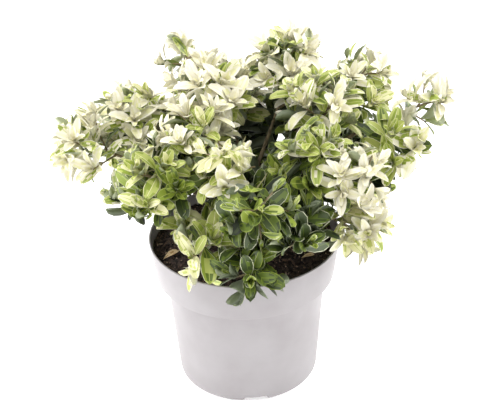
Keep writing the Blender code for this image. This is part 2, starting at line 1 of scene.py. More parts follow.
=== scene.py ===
"""A potted japanese euonymus: its pot, its peat, its bark, and its twigs and leaves."""

import math

import bmesh
import bpy
import numpy as np
from mathutils import Matrix, Vector


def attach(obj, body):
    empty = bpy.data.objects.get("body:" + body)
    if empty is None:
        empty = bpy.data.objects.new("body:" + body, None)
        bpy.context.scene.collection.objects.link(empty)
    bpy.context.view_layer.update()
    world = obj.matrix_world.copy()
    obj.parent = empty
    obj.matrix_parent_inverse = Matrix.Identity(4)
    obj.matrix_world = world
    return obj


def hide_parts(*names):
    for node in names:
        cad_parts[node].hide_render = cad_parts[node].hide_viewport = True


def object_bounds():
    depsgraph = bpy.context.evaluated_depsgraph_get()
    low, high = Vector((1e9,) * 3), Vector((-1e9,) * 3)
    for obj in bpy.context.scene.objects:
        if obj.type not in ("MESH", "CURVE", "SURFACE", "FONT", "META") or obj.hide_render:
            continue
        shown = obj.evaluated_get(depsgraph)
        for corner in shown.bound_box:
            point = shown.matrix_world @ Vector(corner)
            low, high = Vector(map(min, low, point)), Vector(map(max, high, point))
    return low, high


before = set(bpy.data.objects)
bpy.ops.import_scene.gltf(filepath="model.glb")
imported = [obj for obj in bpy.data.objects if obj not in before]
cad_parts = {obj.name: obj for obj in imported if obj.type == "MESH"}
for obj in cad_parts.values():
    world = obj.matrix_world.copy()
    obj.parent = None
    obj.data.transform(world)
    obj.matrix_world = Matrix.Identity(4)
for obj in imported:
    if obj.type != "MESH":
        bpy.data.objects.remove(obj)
cad_box = [list(corner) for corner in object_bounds()]

# The pot is a 3 litre nursery pot, moulded in one piece of light grey polypropylene with a matte
# skin. A deep collar steps out above the body, and four notches cut the ring that it stands on.
POT_RIM_RADIUS = 0.095
POT_HEIGHT = 0.156
POT_WALL = 0.002
COLLAR_DEPTH = 0.0415
COLLAR_FOOT_RADIUS = 0.0887
BODY_TOP_RADIUS = 0.0796
BODY_FOOT_RADIUS = 0.0700
FOOT_RING_RADIUS = 0.060
FLOOR_RISE = 0.006
CENTRE_PAD_RADIUS = 0.032
NOTCH_COUNT = 4
NOTCH_FOOT_WIDTH = 0.028
NOTCH_TOP_WIDTH = 0.021
NOTCH_HEIGHT = 0.0055
NOTCH_FIRST_TURN = math.radians(-85)
DRAIN_COUNT = 8
DRAIN_RADIUS = 0.0045
DRAIN_RING_RADIUS = 0.046
DRAIN_SIDES = 24
POT_STEPS = 480
ARC_STEPS = 5
UP = np.array((0.0, 0.0, 1.0))
MM = 0.001


def linear(red, green, blue):
    """A colour seen on the screen, 0 to 255 each, as the shader's linear light."""
    seen = np.array((red, green, blue)) / 255
    return tuple(float(c) for c in np.where(seen < 0.04, seen / 12.92, ((seen + 0.055) / 1.055) ** 2.4))


def rounded(corners, steps=ARC_STEPS):
    """A profile through (radius, height, rounding) corners: each is cut off at its rounding's
    distance on both sides, and bridged by a curve that the corner itself pulls on."""
    points = []
    for i, (radius, height, rounding) in enumerate(corners):
        here = np.array((radius, height))
        if rounding == 0:
            points.append(here)
            continue
        before, after = np.array(corners[i - 1][:2]), np.array(corners[i + 1][:2])
        start = here + (before - here) / np.linalg.norm(before - here) * rounding
        end = here + (after - here) / np.linalg.norm(after - here) * rounding
        t = np.linspace(0, 1, steps)[:, None]
        points.extend(start * (1 - t) ** 2 + here * 2 * t * (1 - t) + end * t**2)
    return np.array(points)


def carried_round(profile, steps):
    """The profile turned about +Z: a grid of points, one row for each step of the turn."""
    turn = np.linspace(0, math.tau, steps, endpoint=False)[:, None]
    radius, height = profile[:, 0][None], profile[:, 1][None]
    return np.stack(
        (radius * np.cos(turn), radius * np.sin(turn), height + 0 * turn), axis=-1
    )


def grid_faces(rows, columns, wrap_rows=False, wrap_columns=False):
    """The corners of each square of a grid, where a wrapped side is joined to its far side."""
    row = np.arange(rows if wrap_rows else rows - 1)[:, None]
    column = np.arange(columns if wrap_columns else columns - 1)[None]
    next_row, next_column = (row + 1) % rows, (column + 1) % columns
    corners = (
        row * columns + column,
        next_row * columns + column,
        next_row * columns + next_column,
        row * columns + next_column,
    )
    return np.stack([c + 0 * (row + column) for c in corners], axis=-1).reshape(-1, 4)


def unit(vectors):
    """Vectors made one long."""
    return vectors / np.maximum(np.linalg.norm(vectors, axis=-1, keepdims=True), 1e-12)


def carried_along(paths, radii, sides):
    """Round sections carried along paths: at each point of a path, a ring square to the path's
    direction. The paths are an array of (path, point, 3), and the radii of (path, point)."""
    ahead = unit(np.gradient(paths, axis=1))
    mean = unit(ahead.mean(axis=1))
    rough = np.where(np.abs(mean[:, 2:]) < 0.8, UP, np.array((1.0, 0.0, 0.0)))
    side = unit(np.cross(ahead, rough[:, None]))
    over = np.cross(side, ahead)
    turn = np.linspace(0, math.tau, sides, endpoint=False)[:, None]
    ring = side[:, :, None] * np.cos(turn) + over[:, :, None] * np.sin(turn)
    return paths[:, :, None] + ring * radii[:, :, None, None]


def tube_faces(count, points, sides):
    """The faces of a number of closed tubes: their sides, then their two ends."""
    one = grid_faces(points, sides, wrap_columns=True)[:, ::-1]
    shift = np.arange(count)[:, None, None] * points * sides
    around = (one[None] + shift).reshape(-1, 4).tolist()
    ends = np.array((np.arange(sides), np.arange(sides)[::-1] + (points - 1) * sides))
    return around + (ends[None] + shift).reshape(-1, sides).tolist()


def mesh_piece(name, points, faces, materials, material_of=None, smooth=True, weld=0.0):
    """A mesh object at the origin from arrays of points and faces, with its outside outwards."""
    mesh = bpy.data.meshes.new(name)
    mesh.from_pydata(points.reshape(-1, 3).tolist(), [], faces)
    if material_of is not None:
        mesh.polygons.foreach_set("material_index", np.ascontiguousarray(material_of, np.int32))
    if weld:
        shape = bmesh.new()
        shape.from_mesh(mesh)
        bmesh.ops.remove_doubles(shape, verts=shape.verts, dist=weld)
        bmesh.ops.recalc_face_normals(shape, faces=shape.faces)
        shape.to_mesh(mesh)
        shape.free()
    mesh.polygons.foreach_set("use_smooth", np.full(len(mesh.polygons), smooth))
    mesh.update()
    thing = bpy.data.objects.new(name, mesh)
    bpy.context.scene.collection.objects.link(thing)
    for material in materials:
        mesh.materials.append(material)
    return thing


def plain_material(name, colour, roughness):
    """A Principled material whose colour and roughness are set on the shader's own sockets."""
    material = bpy.data.materials.new(name)
    material.use_nodes = True
    shader = material.node_tree.nodes["Principled BSDF"]
    shader.inputs["Base Color"].default_value = (*colour, 1.0)
    shader.inputs["Roughness"].default_value = roughness
    return material


def add_noise(material, scale, detail, stretch=(1, 1, 1)):
    """A noise texture on Object coordinates, drawn out along the axes by a Mapping node."""
    nodes, links = material.node_tree.nodes, material.node_tree.links
    place = nodes.new("ShaderNodeTexCoord")
    mapping = nodes.new("ShaderNodeMapping")
    mapping.inputs["Scale"].default_value = stretch
    noise = nodes.new("ShaderNodeTexNoise")
    noise.inputs["Scale"].default_value = scale
    noise.inputs["Detail"].default_value = detail
    links.new(place.outputs["Object"], mapping.inputs["Vector"])
    links.new(mapping.outputs["Vector"], noise.inputs["Vector"])
    return noise


def tint_by(material, noise, low, high, socket="Base Color", span=(0.35, 0.65)):
    """The noise, through a ramp, sets the colour or roughness between a low and a high value."""
    nodes, links = material.node_tree.nodes, material.node_tree.links
    ramp = nodes.new("ShaderNodeValToRGB")
    for element, place, value in zip(ramp.color_ramp.elements, span, (low, high)):
        element.position = place
        element.color = (*value, 1.0) if isinstance(value, tuple) else (value, value, value, 1.0)
    links.new(noise.outputs["Fac"], ramp.inputs["Fac"])
    links.new(ramp.outputs["Color"], nodes["Principled BSDF"].inputs[socket])


def bump_by(material, noise, strength, distance):
    """The noise raises the surface by at most the distance."""
    nodes, links = material.node_tree.nodes, material.node_tree.links
    bump = nodes.new("ShaderNodeBump")
    bump.inputs["Strength"].default_value = strength
    bump.inputs["Distance"].default_value = distance
    links.new(noise.outputs["Fac"], bump.inputs["Height"])
    links.new(bump.outputs["Normal"], nodes["Principled BSDF"].inputs["Normal"])


ledge = POT_HEIGHT - COLLAR_DEPTH
floor_top = FLOOR_RISE + POT_WALL
pot_corners = [
    (0.0, floor_top, 0),
    (BODY_FOOT_RADIUS - POT_WALL, floor_top, 0.003),
    (BODY_TOP_RADIUS - POT_WALL, ledge + POT_WALL, 0.001),
    (COLLAR_FOOT_RADIUS - POT_WALL, ledge + POT_WALL, 0.001),
    (POT_RIM_RADIUS - POT_WALL, POT_HEIGHT, 0.0007),
    (POT_RIM_RADIUS, POT_HEIGHT, 0.0009),
    (COLLAR_FOOT_RADIUS, ledge, 0.0010),
    (BODY_TOP_RADIUS, ledge, 0.0008),
    (BODY_FOOT_RADIUS + 0.0005, 0.008, 0),
    (BODY_FOOT_RADIUS, 0.0, 0.005),
    (FOOT_RING_RADIUS, 0.0, 0.0006),
    (FOOT_RING_RADIUS, FLOOR_RISE, 0.0006),
    (CENTRE_PAD_RADIUS, FLOOR_RISE, 0.0006),
    (CENTRE_PAD_RADIUS, 0.0, 0.0006),
    (0.0, 0.0, 0),
]
pot_points = carried_round(rounded(pot_corners), POT_STEPS)
pot_turn = np.linspace(0, math.tau, POT_STEPS, endpoint=False) - NOTCH_FIRST_TURN
notch_step = math.tau / NOTCH_COUNT
from_notch = np.abs((pot_turn + notch_step / 2) % notch_step - notch_step / 2) * BODY_FOOT_RADIUS
slope = (NOTCH_FOOT_WIDTH - NOTCH_TOP_WIDTH) / 2
notch_top = NOTCH_HEIGHT * np.clip((NOTCH_FOOT_WIDTH / 2 - from_notch) / slope, 0, 1)[:, None]
in_ring = np.hypot(pot_points[..., 0], pot_points[..., 1]) > FOOT_RING_RADIUS - 0.0001
lifted = np.maximum(pot_points[..., 2], notch_top)
pot_points[..., 2] = np.where(in_ring, lifted, pot_points[..., 2])

pot_plastic = plain_material("pot_plastic", linear(166, 161, 163), 0.5)
tint_by(pot_plastic, add_noise(pot_plastic, 22, 6), linear(161, 156, 158), linear(170, 166, 168))
bump_by(pot_plastic, add_noise(pot_plastic, 900, 2), 0.12, 0.0002)
pot = mesh_piece(
    "pot_shell",
    pot_points,
    grid_faces(*pot_points.shape[:2], wrap_rows=True).tolist(),
    [pot_plastic],
    weld=1e-6,
)
drain_turn = NOTCH_FIRST_TURN + math.tau * (np.arange(DRAIN_COUNT) + 0.5) / DRAIN_COUNT
drain_flat = np.stack((np.cos(drain_turn), np.sin(drain_turn), 0 * drain_turn), axis=-1)
drain_ends = FLOOR_RISE + POT_WALL * np.array((-1, 2))
drain_paths = drain_flat[:, None] * DRAIN_RING_RADIUS + drain_ends[:, None] * UP
drains = mesh_piece(
    "drains",
    carried_along(drain_paths, np.full((DRAIN_COUNT, 2), DRAIN_RADIUS), DRAIN_SIDES),
    tube_faces(DRAIN_COUNT, 2, DRAIN_SIDES),
    [pot_plastic],
)
drill = pot.modifiers.new("Drill", "BOOLEAN")
drill.operation = "DIFFERENCE"
drill.object = drains
bpy.context.view_layer.update()
pot.data = bpy.data.meshes.new_from_object(pot.evaluated_get(bpy.context.evaluated_depsgraph_get()))
pot.modifiers.remove(drill)
bpy.data.objects.remove(drains)
pot.data.set_sharp_from_angle(angle=math.radians(50))
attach(pot, "root")
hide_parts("pot")

# The peat is a moist, fibrous potting mix, pressed in to just below the rim. Crumbs of it and bits
# of fine bark lie loose on top.
PEAT_TOP = 0.149
PEAT_EDGE_DROP = 0.003
PEAT_RELIEF = 0.0016
CRUMB_COUNT = 2600
CHIP_COUNT = 420
FIT_GAP = 0.0003


def ripples(points, pitch, seed, count=14):
    """A rolling height at each point, -1 to 1: the mean of sine waves of about one pitch that run
    in random directions."""
    draw = np.random.default_rng(seed)
    ways = draw.normal(size=(count, 3))
    ways *= math.tau / pitch * draw.uniform(0.6, 1.5, (count, 1)) / np.linalg.norm(ways, axis=1)[:, None]
    phases = draw.uniform(0, math.tau, count)
    waves = sum(np.sin(points @ way + phase) for way, phase in zip(ways, phases))
    return waves / math.sqrt(count)


def scattered(template, places, turns, sizes):
    """Copies of one small shape: each is scaled along its own axes, turned and set in place."""
    shaped = template[None] * sizes[:, None, :]
    return np.einsum("nij,nvj->nvi", turns, shaped) + places[:, None, :]


def random_turns(draw, count, tilt):
    """Rotation matrices that turn freely about +Z and lean over by up to the tilt, in radians."""
    spin, lean, way = draw.uniform(0, math.tau, (3, count))
    lean = lean / math.tau * tilt
    axis = np.stack((np.cos(way), np.sin(way), 0 * way), axis=-1)
    up = np.array((0.0, 0.0, 1.0))
    out = []
    for turn, angle, about in zip(spin, lean, axis):
        out.append(
            np.array(Matrix.Rotation(angle, 3, Vector(about)) @ Matrix.Rotation(turn, 3, Vector(up)))
        )
    return np.array(out)


def copied_faces(faces, count, corners):
    """The faces of a number of copies of a shape that has so many corners."""
    return (np.array(faces)[None] + np.arange(count)[:, None, None] * corners).reshape(
        -1, len(faces[0])
    )


collar_slope = (POT_RIM_RADIUS - COLLAR_FOOT_RADIUS) / COLLAR_DEPTH
peat_edge = PEAT_TOP - PEAT_EDGE_DROP
wall_inside = POT_RIM_RADIUS - POT_WALL - FIT_GAP
peat_radius = wall_inside - collar_slope * (POT_HEIGHT - peat_edge) - FIT_GAP
peat_ring = np.linspace(0, peat_radius, 90)


def peat_height(x, y):
    """The height of the peat's top: a shallow dome, with hollows and crumbs as rolling waves."""
    radius = np.hypot(x, y)
    dome = PEAT_TOP - PEAT_EDGE_DROP * (radius / peat_radius) ** 2
    flat = np.stack((x, y, 0 * x), axis=-1)
    relief = 0.7 * ripples(flat, 0.030, 1) + 0.5 * ripples(flat, 0.008, 2) + 0.35 * ripples(flat, 0.003, 3)
    return dome + PEAT_RELIEF * (np.clip(relief, -1.6, 1.0) - 1.0)


peat_wall = POT_WALL + FIT_GAP
peat_corners = [
    (0.0, floor_top + FIT_GAP, 0),
    (BODY_FOOT_RADIUS - peat_wall, floor_top + FIT_GAP, 0.003),
    (BODY_TOP_RADIUS - peat_wall, ledge + peat_wall, 0.001),
    (COLLAR_FOOT_RADIUS - peat_wall, ledge + peat_wall, 0.001),
    (peat_radius, PEAT_TOP, 0),
]
peat_top = np.stack((peat_ring[-2::-1], 0 * peat_ring[:-1] + PEAT_TOP), axis=-1)
peat_points = carried_round(np.vstack((rounded(peat_corners), peat_top)), 300)
top = peat_points[..., 2] > PEAT_TOP - FIT_GAP
peat_points[..., 2] = np.where(
    top, peat_height(peat_points[..., 0], peat_points[..., 1]), peat_points[..., 2]
)
peat_earth = plain_material("moist_peat", linear(44, 35, 31), 0.9)
tint_by(peat_earth, add_noise(peat_earth, 320, 6), linear(25, 20, 18), linear(88, 71, 63))
bump_by(peat_earth, add_noise(peat_earth, 700, 4), 0.6, 0.0008)
peat = mesh_piece(
    "peat_fill",
    peat_points,
    grid_faces(*peat_points.shape[:2], wrap_rows=True).tolist(),
    [peat_earth],
    weld=1e-6,
)
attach(peat, "root")
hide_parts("peat")

draw = np.random.default_rng(11)
CRUMB = np.array(
    [(1, 0, 0), (-1, 0.1, 0.1), (0.1, 1, 0), (0, -1, 0.1), (0.1, 0, 1), (0, 0.1, -1)]
)
CRUMB_FACES = [
    (0, 2, 4), (2, 1, 4), (1, 3, 4), (3, 0, 4), (2, 0, 5), (1, 2, 5), (3, 1, 5), (0, 3, 5)
]
crumb_radius = (peat_radius - 0.002) * np.sqrt(draw.uniform(0.02, 1, CRUMB_COUNT))
crumb_turn = draw.uniform(0, math.tau, CRUMB_COUNT)
crumb_x, crumb_y = crumb_radius * np.cos(crumb_turn), crumb_radius * np.sin(crumb_turn)
crumb_size = draw.uniform(0.0004, 0.0013, (CRUMB_COUNT, 1)) * draw.uniform(0.6, 1.5, (CRUMB_COUNT, 3))
crumb_size[:CHIP_COUNT] *= np.array((4.6, 1.2, 0.6))
crumb_places = np.stack((crumb_x, crumb_y, peat_height(crumb_x, crumb_y) + 0.0003), axis=-1)
crumb_points = scattered(CRUMB, crumb_places, random_turns(draw, CRUMB_COUNT, 0.9), crumb_size)
crumb_tone = np.repeat(draw.choice(3, CRUMB_COUNT, p=(0.55, 0.33, 0.12)), len(CRUMB_FACES))
crumbs = mesh_piece(
    "peat_crumbs",
    crumb_points,
    copied_faces(CRUMB_FACES, CRUMB_COUNT, len(CRUMB)).tolist(),
    [
        plain_material("crumb_dark", linear(34, 27, 24), 0.95),
        plain_material("crumb_brown", linear(106, 85, 74), 0.95),
        plain_material("crumb_bark", linear(176, 152, 134), 0.9),
    ],
    crumb_tone,
    smooth=False,
)
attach(crumbs, "root")

# The limbs are one short stock with a flare at its foot, and boughs that leave it all round. Each
# bough is a single tapering shoot of hard wood, and grows on as the stem of its mass of foliage.
STOCK_HEIGHT = 0.050
STOCK_TOP_RADIUS = 0.0062
STOCK_WAIST_RADIUS = 0.0070
STOCK_FOOT_RADIUS = 0.0125
MAIN_ROOT_RADIUS = 0.0026
SIDE_ROOT_RADIUS = 0.0020
BOUGH_TIP_RADIUS = 0.0014
STEM_TIP_RADIUS = 0.0009
ROUTE_POINTS = 60
FORK_POINTS = 13
LIMB_CLEAR = 0.0062
MAIN_LIFT = 1.25
BOUGH_END = 0.92
FIRST_FORK = 0.34
FORK_STEP = 0.22
FORK_LEAN = 0.45
MASS_TOP = 0.176
ROOT_LOW = 0.006
ROOT_HIGH = 0.044
BEND_TRIES = 80
BEND_STEP = 0.012
SEED = 7
SPACE_GAP = 0.0008
REACH = 1.16
STEM_REACH = 0.62
LEAF_CLEAR = 0.0008

# The masses, in groups by the main bough that carries them, which ends in the first of its group:
# turn about the pot's axis from +X in degrees, distance out from it and height over the rim in mm,
# size of the mass in mm, rise of its leading shoot over level in degrees, and tone
GROUPS = {
    "left": {
        "far_left": (177, 145, 101, 38, 12, "pale"),
        "upper_left": (157, 113, 103, 44, 42, "cream"),
        "low_left": (-170, 102, 56, 34, 4, "dark"),
    },
    "front_left": {
        "middle_left": (-144, 94, 97, 42, 34, "yellow"),
        "apron_left": (-116, 87, 38, 38, 0, "yellow"),
        "cream_left": (-151, 46, 126, 42, 66, "cream"),
    },
    "rear_left": {
        "tall_left": (134, 72, 166, 30, 86, "cream"),
        "rear_left": (137, 124, 54, 50, 20, "mixed"),
    },
    "front": {
        "heart": (-101, 69, 117, 42, 50, "cream"),
        "front": (-83, 105, 93, 42, 24, "green"),
    },
    "inner": {
        "inner": (-79, 44, 62, 40, 40, "dark"),
    },
    "inner_left": {
        "inner_left": (161, 63, 58, 42, 30, "dark"),
    },
    "inner_right": {
        "inner_right": (6, 61, 59, 42, 30, "dark"),
    },
    "apron": {
        "apron": (-88, 98, 29, 38, -6, "mixed"),
        "apron_right": (-61, 87, 47, 40, 0, "dark"),
    },
    "front_right": {
        "lime": (-32, 79, 106, 42, 48, "yellow"),
        "low_right": (-21, 114, 31, 36, 0, "cream"),
        "cream_right": (-29, 119, 100, 42, 24, "cream"),
    },
    "right": {
        "far_right": (8, 179, 125, 30, 14, "cream"),
        "right_shoot": (-2, 148, 95, 35, 4, "pale"),
        "right_upper": (-4, 74, 131, 44, 50, "cream"),
    },
    "rear_right": {
        "top_right": (28, 128, 128, 42, 50, "cream"),
        "rear_right": (58, 120, 68, 52, 18, "green"),
        "low_rear_right": (24, 113, 40, 46, 4, "dark"),
    },
    "rear": {
        "top_middle": (52, 79, 142, 48, 74, "cream"),
        "top": (143, 33, 142, 44, 80, "cream"),
    },
    "far_rear": {
        "rear_top": (98, 106, 89, 52, 34, "cream"),
        "rear_low": (98, 116, 42, 52, 4, "dark"),
    },
}


def spaces():
    """Each mass's centre, size, leading direction and tone, by name, in the table's order."""
    found = {}
    for masses in GROUPS.values():
        for name, (turn, out, up, size, rise, tone) in masses.items():
            turn, rise = math.radians(turn), math.radians(rise)
            flat = np.array((math.cos(turn), math.sin(turn), 0.0))
            centre = flat * out * MM + UP * (POT_HEIGHT + up * MM)
            found[name] = (centre, size * MM, flat * math.cos(rise) + UP * math.sin(rise), tone)
    return found


def off_pot(points):
    """Which points are clear of the pot and the peat: above them, or outside the pot's wall."""
    radius, height = np.hypot(points[:, 0], points[:, 1]), points[:, 2]
    above = height > POT_HEIGHT + LEAF_CLEAR
    outside = (radius > POT_RIM_RADIUS + LEAF_CLEAR) & (height > POT_HEIGHT - COLLAR_DEPTH)
    inside = (radius < POT_RIM_RADIUS - 0.006) & (height > PEAT_TOP + LEAF_CLEAR)
    return above | outside | inside


class Space:
    """The room that one mass keeps to: nearer to it than to the others, and clear of the pot."""

    def __init__(self, name, table):
        self.number = list(table).index(name)
        self.centre, self.size, self.lead, self.tone = table[name]
        walls = []
        for other, (centre, size, _, _) in table.items():
            if other == name:
                continue
            away = centre - self.centre
            apart = np.linalg.norm(away)
            share = (apart**2 + self.size**2 - size**2) / (2 * apart)
            walls.append((*(away / apart), share - SPACE_GAP / 2))
        self.walls = np.array(walls)

    def clear(self, points, reach=REACH, slack=0.0):
        """Which points lie in the space, within reach of its centre and off the pot."""
        away = points - self.centre
        near = np.linalg.norm(away, axis=1) <= reach * self.size
        inside = (away @ self.walls[:, :3].T <= self.walls[:, 3] + slack).all(axis=1)
        return near & inside & off_pot(points)


def bezier(p0, p1, p2, p3, count):
    """Points of a cubic curve, evenly spaced in its parameter."""
    t = np.linspace(0, 1, count)[:, None]
    return p0 * (1 - t) ** 3 + p1 * 3 * (1 - t) ** 2 * t + p2 * 3 * (1 - t) * t**2 + p3 * t**3


def lengths_along(points):
    """How far along a path each of its points lies."""
    return np.concatenate(([0.0], np.cumsum(np.linalg.norm(np.diff(points, axis=0), axis=1))))


def read_at(points, wanted):
    """The points of a path at the wanted distances along it."""
    along = lengths_along(points)
    return np.stack([np.interp(wanted, along, points[:, i]) for i in range(3)], axis=-1)


def spaced(points, count):
    """A path's points, evenly spaced along its length."""
    return read_at(points, np.linspace(0, lengths_along(points)[-1], count))


def nearest_gap(path, other):
    """The least distance between two paths, leaving out what lies inside the stock."""
    a, b = (p[np.hypot(p[:, 0], p[:, 1]) > STOCK_TOP_RADIUS] for p in (path, other))
    return float(np.linalg.norm(a[:, None] - b[None], axis=2).min())


def limb_route(root, away, row, bend):
    """A limb's smooth path from its root, through its mass's centre, to the leading tip."""
    centre, size, lead, _ = row
    tip = centre + lead * size * STEM_REACH
    span = np.linalg.norm(centre - root)
    side = unit(np.cross(away, UP))
    first = root + (away * 0.34 + side * bend) * span
    last = centre - lead * span * 0.22
    return spaced(bezier(root, first, last, tip, ROUTE_POINTS), ROUTE_POINTS)


def bough_points(path, row):
    """How many of a limb's points lie outside its mass, where its bough ends."""
    return int((np.linalg.norm(path - row[0], axis=1) > row[1] * BOUGH_END).sum())


def clearest(root, away, row, routes, parent, draw):
    """The first of a limb's bends that clears the other limbs, or else the one that does best."""
    best, most = None, -1.0
    for k in range(BEND_TRIES):
        bend = draw.uniform(-1, 1) * min(1.0, k * BEND_STEP)
        route = limb_route(root, away, row, bend)
        gaps = [1.0]
        for name, other in routes.items():
            skip = FORK_POINTS if name == parent else 0
            gaps.append(nearest_gap(route[skip:], other))
        if min(gaps) > most:
            best, most = route, min(gaps)
        if most > LIMB_CLEAR:
            break
    return best


def route_limbs(table):
    """Each limb's path and the main limb it forks from, bent aside until it clears the others."""
    routes, parents = {}, {}
    draw = np.random.default_rng(SEED)
    for masses in GROUPS.values():
        main = next(iter(masses))
        for order, name in enumerate(masses):
            centre = table[name][0]
            if name == main:
                share = (centre[2] - POT_HEIGHT) / MASS_TOP
                root = UP * (PEAT_TOP + FIT_GAP + ROOT_LOW + (ROOT_HIGH - ROOT_LOW) * share)
                away, parent = (centre - root) * np.array((1, 1, MAIN_LIFT)), None
            else:
                path, parent = routes[main], main
                k = int((FIRST_FORK + FORK_STEP * (order - 1)) * bough_points(path, table[main]))
                root = path[k]
                away = unit(path[k + 1] - path[k]) * FORK_LEAN + unit(centre - root)
            routes[name] = clearest(root, unit(away), table[name], routes, parent, draw)
            parents[name] = parent
    return routes, parents


def entry_of(route, space):
    """The number of the point where a limb's path enters its mass for good."""
    inside = space.clear(route, BOUGH_END)
    k = len(route) - 1
    while k > 1 and inside[k - 1]:
        k -= 1
    return k


table = spaces()
routes, parents = route_limbs(table)
bough_paths, bough_radii, stems = [], [], {}
for name, route in routes.items():
    space = Space(name, table)
    length = lengths_along(route)[-1]
    entry = entry_of(route, space) * length / (len(route) - 1)
    root_radius = SIDE_ROOT_RADIUS if parents[name] else MAIN_ROOT_RADIUS
    bough_paths.append(read_at(route, np.linspace(0, entry, 48)))
    bough_radii.append(np.linspace(root_radius, BOUGH_TIP_RADIUS, 48))
    stems[name] = read_at(route, np.linspace(entry, length, 30))
bough_paths, bough_radii = np.array(bough_paths), np.array(bough_radii)
bough_rings = carried_along(bough_paths, bough_radii, 14)
outward = bough_rings - bough_paths[:, :, None]
ridges = 0.10 * ripples(bough_rings, 0.0022, 21) + 0.07 * ripples(bough_rings, 0.0008, 22)
bough_rings = bough_paths[:, :, None] + outward * (1 + np.clip(ridges, -0.2, 0.2))[..., None]

bark = plain_material("bark", linear(112, 100, 78), 0.85)
tint_by(bark, add_noise(bark, 260, 5, (1, 1, 0.35)), linear(84, 72, 54), linear(146, 132, 100))
bump_by(bark, add_noise(bark, 900, 4, (1, 1, 0.3)), 0.5, 0.0004)
boughs = mesh_piece(
    "boughs", bough_rings, tube_faces(len(bough_paths), 48, 14), [bark]
)
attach(boughs, "root")
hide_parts(*(f"bough_{name}" for name in routes))

stock_foot = PEAT_TOP - 0.004
stock_top = PEAT_TOP + FIT_GAP + STOCK_HEIGHT
stock_corners = [
    (0.0, stock_top, 0),
    (STOCK_TOP_RADIUS, stock_top, 0.003),
    (STOCK_WAIST_RADIUS, PEAT_TOP + 0.016, 0.004),
    (STOCK_WAIST_RADIUS * 1.18, PEAT_TOP + 0.007, 0.003),
    (STOCK_FOOT_RADIUS, PEAT_TOP, 0.001),
    (STOCK_FOOT_RADIUS, stock_foot, 0),
    (0.0, stock_foot, 0),
]
stock_fine = rounded(stock_corners, 12)
stock_points = carried_round(read_at(np.column_stack((stock_fine, 0 * stock_fine[:, 0])), np.linspace(0, lengths_along(np.column_stack((stock_fine, 0 * stock_fine[:, 0])))[-1], 90))[:, :2], 90)
out = stock_points * np.array((1, 1, 0))
furrow = ripples(stock_points * np.array((1, 1, 0.25)), 0.0035, 31)
stock_points = stock_points + out * 0.07 * np.clip(furrow, -1.5, 1.2)[..., None]
stock = mesh_piece(
    "stock_bark",
    stock_points,
    grid_faces(*stock_points.shape[:2], wrap_rows=True).tolist(),
    [bark],
    weld=1e-6,
)
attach(stock, "root")
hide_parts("stock")

# The twigs are the young wood of each mass, green and smooth. They branch from the stem by the
# same rule in every mass: first the leading shoots all round, then finer ones between them.
SHOOT_COUNT = 6
LEAST_SHOOTS = 3
SHOOT_REACHES = (0.66, 0.54, 0.42)
SHOOT_TILT = (30, 112)
SHOOT_RADIUS = 0.0011
FINE_RADIUS = 0.0008
FINE_COUNTS = {"cream": 7, "pale": 3, "yellow": 5, "mixed": 5, "green": 4, "dark": 4}
FINE_TRIES = 160
FULL_SIZE = 0.042
FINE_REACHES = (0.40, 0.90)
FINE_SPANS = (0.014, 0.050)
TIP_SPACING = 0.019
CROWDED = {
    "heart": 1.08,
    "far_right": 1.25,
    "right_shoot": 1.15,
    "low_left": 1.12,
    "apron": 1.18,
    "apron_left": 1.1,
    "apron_right": 1.2,
    "front": 1.15,
    "inner": 1.15,
}
TIP_ROOM = 0.010
TWIG_POINTS = 10
TWIG_SIDES = 6
TWIG_TIP_SHARE = 0.62
GOLDEN_TURN = math.radians(137.5)
ROOT_SINK = 0.0001
PEAT_SEEN = ((48, -40, 30, 24), (-70, -18, 17, 34))
CAMERA_DOWN = math.radians(31.21)
OVER = np.array((0.0, math.sin(CAMERA_DOWN), math.cos(CAMERA_DOWN)))
RIGHT = np.array((1.0, 0.0, 0.0))


def sideways(lead):
    """Two directions square to a leading direction and to each other."""
    first = unit(np.cross(lead, UP if abs(lead[2]) < 0.98 else np.array((1.0, 0.0, 0.0))))
    return first, unit(np.cross(first, lead))


def over_peat(points):
    """Which points lie before a patch of open peat, seen from the front and above."""
    foot = points[:, 1] + (points[:, 2] - PEAT_TOP) / math.tan(CAMERA_DOWN)
    found = np.zeros(len(points), bool)
    for x, y, wide, deep in np.array(PEAT_SEEN) * MM:
        found |= ((points[:, 0] - x) / wide) ** 2 + ((foot - y) / deep) ** 2 < 1
    return found


def shoot_count(space):
    """How many leading shoots a mass has: fewer when it is smaller than a full one."""
    return max(LEAST_SHOOTS, round(SHOOT_COUNT * min(1.0, space.size / FULL_SIZE) ** 2))


def shoot_route(space, stem, k, reach):
    """The path of a mass's shoot k: it leaves the stem early when it leans far from its lead."""
    draw = np.random.default_rng([SEED, space.number, k])
    share = (k + 0.5) / shoot_count(space)
    tilt = math.radians(SHOOT_TILT[0] + (SHOOT_TILT[1] - SHOOT_TILT[0]) * share)
    turn = GOLDEN_TURN * k + draw.uniform(-0.25, 0.25)
    right, over = sideways(space.lead)
    aim = space.lead * math.cos(tilt)
    aim = aim + (right * math.cos(turn) + over * math.sin(turn)) * math.sin(tilt)
    tip = space.centre + aim * space.size * reach * draw.uniform(0.85, 1.15)
    at = int((0.8 - 0.7 * share) * (len(stem) - 1))
    along = unit(stem[at + 1] - stem[at])
    start = stem[at] - unit(along + aim) * ROOT_SINK
    middle = start + unit(along + aim) * np.linalg.norm(tip - start) * 0.5
    near = start + (middle - start) * 0.67
    far = tip + (middle - tip) * 0.67
    return bezier(start, near, far, tip, TWIG_POINTS)


